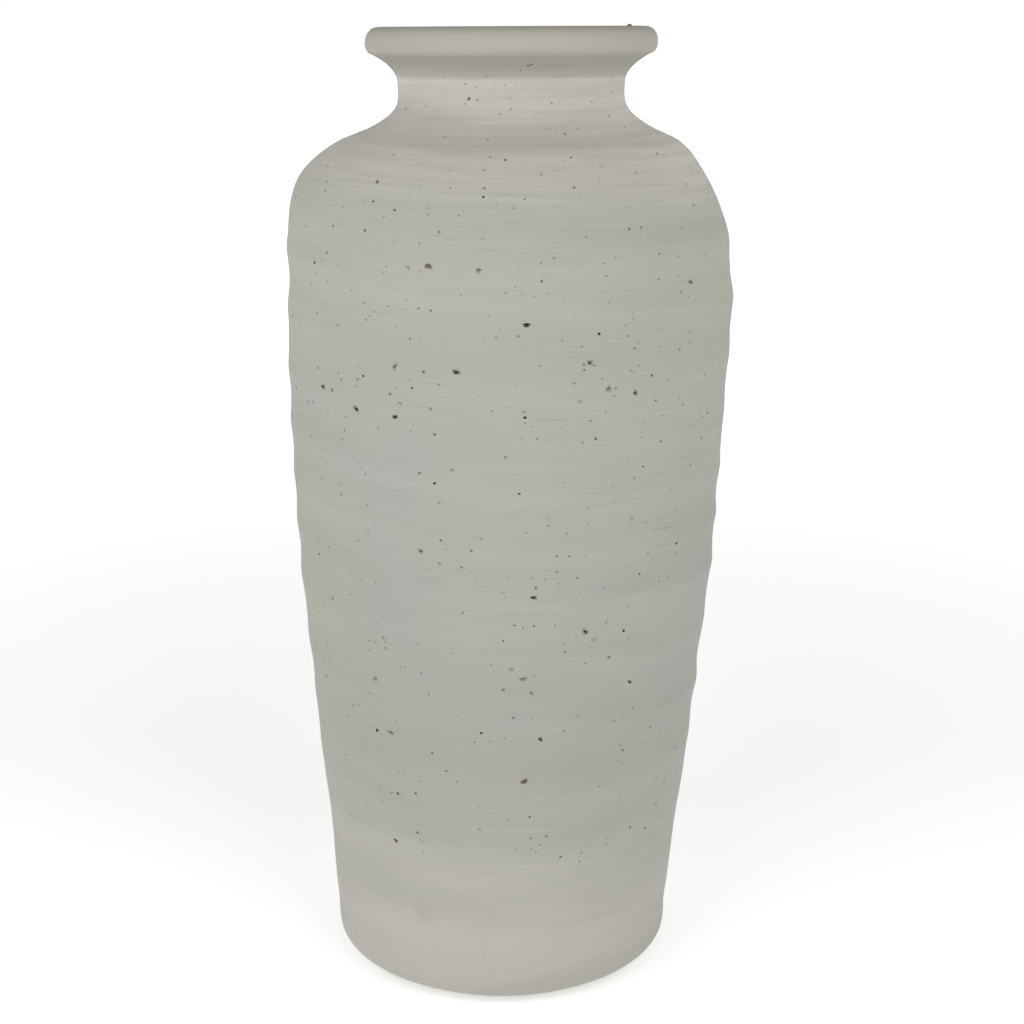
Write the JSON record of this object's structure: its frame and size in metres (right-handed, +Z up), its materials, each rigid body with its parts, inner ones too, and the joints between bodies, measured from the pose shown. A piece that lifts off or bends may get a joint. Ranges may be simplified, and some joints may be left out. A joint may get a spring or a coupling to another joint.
{
  "type": "stoneware vase",
  "caption": "Tall hand-thrown stoneware vase with a tapering body, high round shoulder, short collar and thick rolled lip, luted from thrown sections.",
  "frame": {"origin": "on the ground, under the middle of the foot", "axes": "+Z up along the axis on which the pot was turned, +X to the right and -Y towards the front"},
  "size_m": [0.2126, 0.2126, 0.46],
  "materials": {
    "stoneware": "matte, unglazed, speckled with dark grit",
    "slip": "matte",
    "liner_glaze": "satin",
    "felt": "felt"
  },
  "bodies": {
    "root": {"base_section": "stoneware", "middle_section": "stoneware", "shoulder_section": "stoneware", "neck_section": "stoneware", "rim_coil": "stoneware", "lower_joint_slip": "slip", "upper_joint_slip": "slip", "neck_joint_slip": "slip", "rim_joint_slip": "slip", "inner_glaze": "liner_glaze", "front_left_felt_pad": "felt", "front_right_felt_pad": "felt", "back_left_felt_pad": "felt", "back_right_felt_pad": "felt"}
  },
  "joints": []
}
